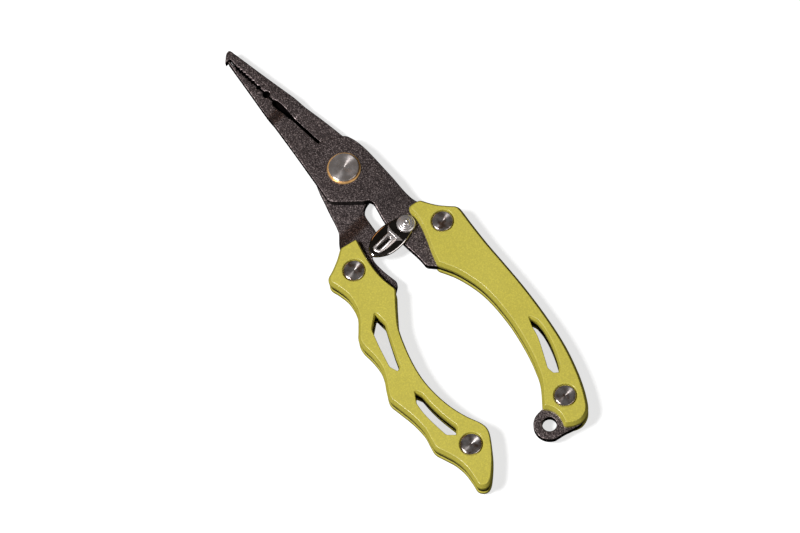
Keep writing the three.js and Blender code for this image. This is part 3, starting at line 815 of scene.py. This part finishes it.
def grip_hardware():
    bolt = ([(0, 2.9), (1.3, 2.9), (1.45, 3.05), (1.45, 6.8), (2.15, 6.8), (2.15, 8.35)]
            + head_rim(3.3, 8.35, 9.2, 9.16))
    nut = ([(0, 7.0), (1.6, 7.0), (1.6, 2.8), (2.15, 2.8), (2.15, 8.35)]
           + head_rim(3.3, 8.35, 9.2, 9.16))
    for handle, body in (("thumb", "front_lever"), ("scalloped", "rear_lever")):
        for end, (x, y) in zip(("upper", "lower"), GRIP_BOLTS[handle]):
            node = f"{handle}_grip_bolt_{end}"
            finish_mesh(turned(bolt, x, y), f"{node}_turned", TURNED, node, body)
            node = f"{handle}_grip_nut_{end}"
            finish_mesh(mirrored(turned(nut, x, y)), f"{node}_turned", TURNED, node, body)


def washer(inner, outer, bottom, top):
    """A ring's profile, its outer rims broken by a small edge."""
    edge = 0.06
    return [(inner, bottom), (outer - edge, bottom), (outer, bottom + edge), (outer, top - edge),
            (outer - edge, top), (inner, top)]


def pivot_hardware():
    head = FRONT_TOP + 0.4
    rear = REAR_BOTTOM - 0.4
    bolt = ([(0, 2.2), (1.4, 2.2), (1.55, 2.35), (1.55, 6.4), (2.5, 6.4), (2.5, head)]
            + head_rim(4.85, head, 9.2, 8.95))
    nut = [(0, 0.06), (0.3, 0), (4.6, 0), (4.78, 0.06), (4.85, 0.25), (4.85, rear), (2.5, rear),
           (2.5, 6.2), (1.65, 6.2), (1.65, 1.8), (0, 1.8)]
    rings = {
        "pivot_bush": washer(2.6, 3.4, REAR_BOTTOM + 0.05, FRONT_TOP - 0.05),
        "pivot_washer_front": washer(2.6, 5.4, FRONT_TOP, head),
        "pivot_washer_rear": washer(2.6, 5.4, rear, REAR_BOTTOM),
        "pivot_spacer_washer": washer(6.1, 8.6, REAR_TOP + 0.05, FRONT_BOTTOM - 0.05),
    }
    finish_mesh(turned(bolt, sides=160), "pivot_bolt_turned", TURNED_PAINTED_LIGHTER, "pivot_bolt", "front_lever")
    hole = [(0, -0.5), (0.6, -0.5), (0.6, 0.6), (0, 0.6)]
    spanner_holes = merged(*[turned(hole, x, 0, 32) for x in (-3.2, 3.2)])
    finish_mesh(carved(turned(nut, sides=160), spanner_holes), "pivot_nut_turned", TURNED_PAINTED_LIGHTER,
                "pivot_nut", "front_lever")
    for node, profile in rings.items():
        finish_mesh(turned(profile, sides=128), f"{node}_turned", BRASS, node, "front_lever")
    ring = turned(washer(1.6, 2.9, PLATE_TOP, 6.55), *LOCK)
    finish_mesh(ring, "lock_wave_washer_pressed", SPRING, "lock_wave_washer", "front_lever")


def torsion_spring():
    """Round wire coiled about two turns, with a straight leg into each plate."""
    wire, radius = 0.4, 4.7
    turns = 2 + (SPRING_LEG["front"] - SPRING_LEG["rear"]) / (2 * math.pi)
    low = REAR_TOP - POCKET["depth"] + wire + 0.1
    high = FRONT_BOTTOM + POCKET["depth"] - wire - 0.1

    def at(r, angle, z):
        return Vector((r * math.cos(angle), r * math.sin(angle), z)) * MM

    steps = 96
    path = [at(5.6, SPRING_LEG["rear"], low)]
    for share in np.arange(steps + 1) / steps:
        path.append(at(radius, SPRING_LEG["rear"] + share * turns * 2 * math.pi, low + share * (high - low)))
    path.append(at(5.6, SPRING_LEG["front"], high))
    curve = bpy.data.curves.new("pivot_torsion_spring_wire", "CURVE")
    curve.dimensions = "3D"
    curve.bevel_depth = wire * MM
    curve.bevel_resolution = 4
    curve.use_fill_caps = True
    spline = curve.splines.new("POLY")
    spline.points.add(len(path) - 1)
    for point, place in zip(spline.points, path):
        point.co = (*place, 1)
    curve.materials.append(SPRING)
    spring = bpy.data.objects.new("pivot_torsion_spring_wire", curve)
    bpy.context.scene.collection.objects.link(spring)
    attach(spring, "front_lever")
    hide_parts("pivot_torsion_spring")


grip_hardware()
pivot_hardware()
torsion_spring()


# ---------------------------------------------------------------- lock lever
LEVER = {"bottom": 6.6, "top": 7.7, "boss": 8.2, "cross": 8.7, "rib": 9.3, "rib_end": 8.0}   # heights
lever_outline = trace([
    (-27.6, -3.7, 0.5), (-25.3, -2.9), (-24.0, 0.2), (-22.9, 4.0), (-22.6, 7.6), (-23.2, 11.0),
    (-25.1, 13.8), (-27.3, 14.7), (-29.2, 13.4), (-31.0, 10.6), (-31.7, 7.2), (-31.6, 3.8),
    (-30.8, 0.2), (-29.8, -2.8),
], 0.25)
lever_cross = trace([
    (-31.1, 4.2, 0.15), (-29.4, 4.0), (-27.8, 4.1), (-25.9, 4.1), (-23.7, 3.5, 0.15),
    (-24.7, 5.0), (-25.6, 5.8, 0.3), (-29.4, 5.8, 0.3), (-30.2, 5.0),
], 0.2)
lever_ribs = trace([
    (-29.4, 5.2, 0.3), (-25.8, 5.2, 0.3), (-25.7, 9.0), (-25.5, 12.4, 0.5),
    (-27.0, 13.2), (-28.9, 12.5, 0.5), (-29.3, 9.0),
], 0.2)
lever_slot = trace([
    (-28.3, 7.0, 0.2), (-27.5, 6.3), (-26.7, 7.0, 0.2), (-26.6, 11.4, 0.2), (-27.3, 12.0),
    (-28.0, 11.4, 0.2),
], 0.2)


def rib_slope(y):
    """How far down the thumb ribs have come at y, 0 at the cross bar and 1 at the free end."""
    t = min(1.0, max(0.0, (y - 5.6) / 7.4))
    return t * t * (3 - 2 * t)


def lock_lever():
    bottom, top = LEVER["bottom"], LEVER["top"]
    side = rounded([(0.15, bottom), (0, bottom + 0.15), (0, top - 0.35), (0.5, top - 0.06), (1.1, top),
                    (1.3, top)], 0.3, 6)
    hole = [(0, bottom), (0, top)]
    plate_part = walled([(lever_outline, side, False), (circle(*LOCK, LOCK_BORE, 48), hole, True)])
    face = LEVER["boss"]
    boss = turned([(LOCK_BORE, top - 0.4)]
                  + rounded([(3.05, top - 0.4), (3.0, top + 0.15), (2.7, face - 0.08), (2.45, face),
                             (LOCK_BORE, face)], 0.25, 6), *LOCK, 128)
    start = top - 0.3
    ridge = rounded([(0, start), (0.1, top + 0.2), (0.45, LEVER["cross"]), (0.6, LEVER["cross"])], 0.3, 6)
    cross = walled([(lever_cross, ridge, False)])
    rib = rounded([(0, start), (0.3, LEVER["rib"] - 0.3), (0.55, LEVER["rib"]),
                   (0.65, LEVER["rib"])], 0.25, 6)
    slot = rounded([(0, start), (0, LEVER["rib"] - 0.25), (0.2, LEVER["rib"])], 0.2, 5)
    ribs = walled([(lever_ribs, rib, False), (lever_slot, slot, True)])
    fall = LEVER["rib"] - LEVER["rib_end"]
    for v in ribs.verts:
        share = (v.co.z - start) / (LEVER["rib"] - start)
        v.co.z -= fall * share * rib_slope(v.co.y)
    finish_mesh(plate_part, "lock_lever_polished", CHROME, "lock_lever", "lock")
    # Painted highlight: the raised parts and the rivet take the lighter copy of the chrome.
    finish_mesh(merged(boss, cross, ribs), "lock_lever_raised", CHROME_PAINTED_BRIGHTER, "lock_lever", "lock")
    rivet = [(0, 2.35), (1.7, 2.4), (2.4, 2.8), (2.4, 3.15), (1.4, 3.15), (1.4, face + 0.05)]
    rivet += rounded([(2.2, face + 0.05), (2.2, face + 0.3), (1.9, face + 0.42), (1.3, face + 0.45),
                      (1.15, face + 0.75), (0.9, face + 0.95), (0.4, face + 1.0), (0.2, face + 0.9),
                      (0.1, face + 0.9)], 0.15, 5)
    finish_mesh(turned(rivet + [(0, face + 0.9)], *LOCK, 96), "lock_rivet_domed", CHROME_PAINTED_BRIGHTER,
                "lock_rivet", "front_lever")


lock_lever()


# ---------------------------------------------------------------- studio
def floor():
    mesh = bpy.data.meshes.new("floor")
    size = 3.0
    mesh.from_pydata([(-size, -size, 0), (size, -size, 0), (size, size, 0), (-size, size, 0)], [],
                     [(0, 1, 2, 3)])
    plane = bpy.data.objects.new("floor", mesh)
    plane.location.z = -0.1 * MM
    plane.data.materials.append(studio_floor())
    plane.visible_diffuse = False
    plane.visible_glossy = False
    bpy.context.scene.collection.objects.link(plane)


def softbox(name, azimuth, elevation, *, distance, size, power, colour=(1, 1, 1)):
    """A square area light that faces the pliers from that direction; azimuth 0 is along +X."""
    a, e = math.radians(azimuth), math.radians(elevation)
    out = Vector((math.cos(a) * math.cos(e), math.sin(a) * math.cos(e), math.sin(e)))
    data = bpy.data.lights.new(name, "AREA")
    data.energy = power
    data.size = size
    data.color = colour
    light = bpy.data.objects.new(name, data)
    light.location = Vector((-0.03, 0.01, 0)) + out * distance
    light.rotation_euler = out.to_track_quat("Z", "Y").to_euler()
    bpy.context.scene.collection.objects.link(light)


def studio():
    floor()
    softbox("key", 68, 60, distance=1.7, size=0.35, power=34)
    softbox("fill", 185, 35, distance=1.6, size=1.0, power=6)
    softbox("warm", -10, 35, distance=1.2, size=0.3, power=0.25, colour=(1, 0.45, 0.15))
    world = bpy.data.worlds.new("studio")
    world.use_nodes = True
    background = world.node_tree.nodes["Background"]
    background.inputs["Color"].default_value = (1, 0.85, 0.7, 1)
    background.inputs["Strength"].default_value = 0.008
    bpy.context.scene.world = world
    bpy.context.scene.view_settings.view_transform = "Standard"


studio()
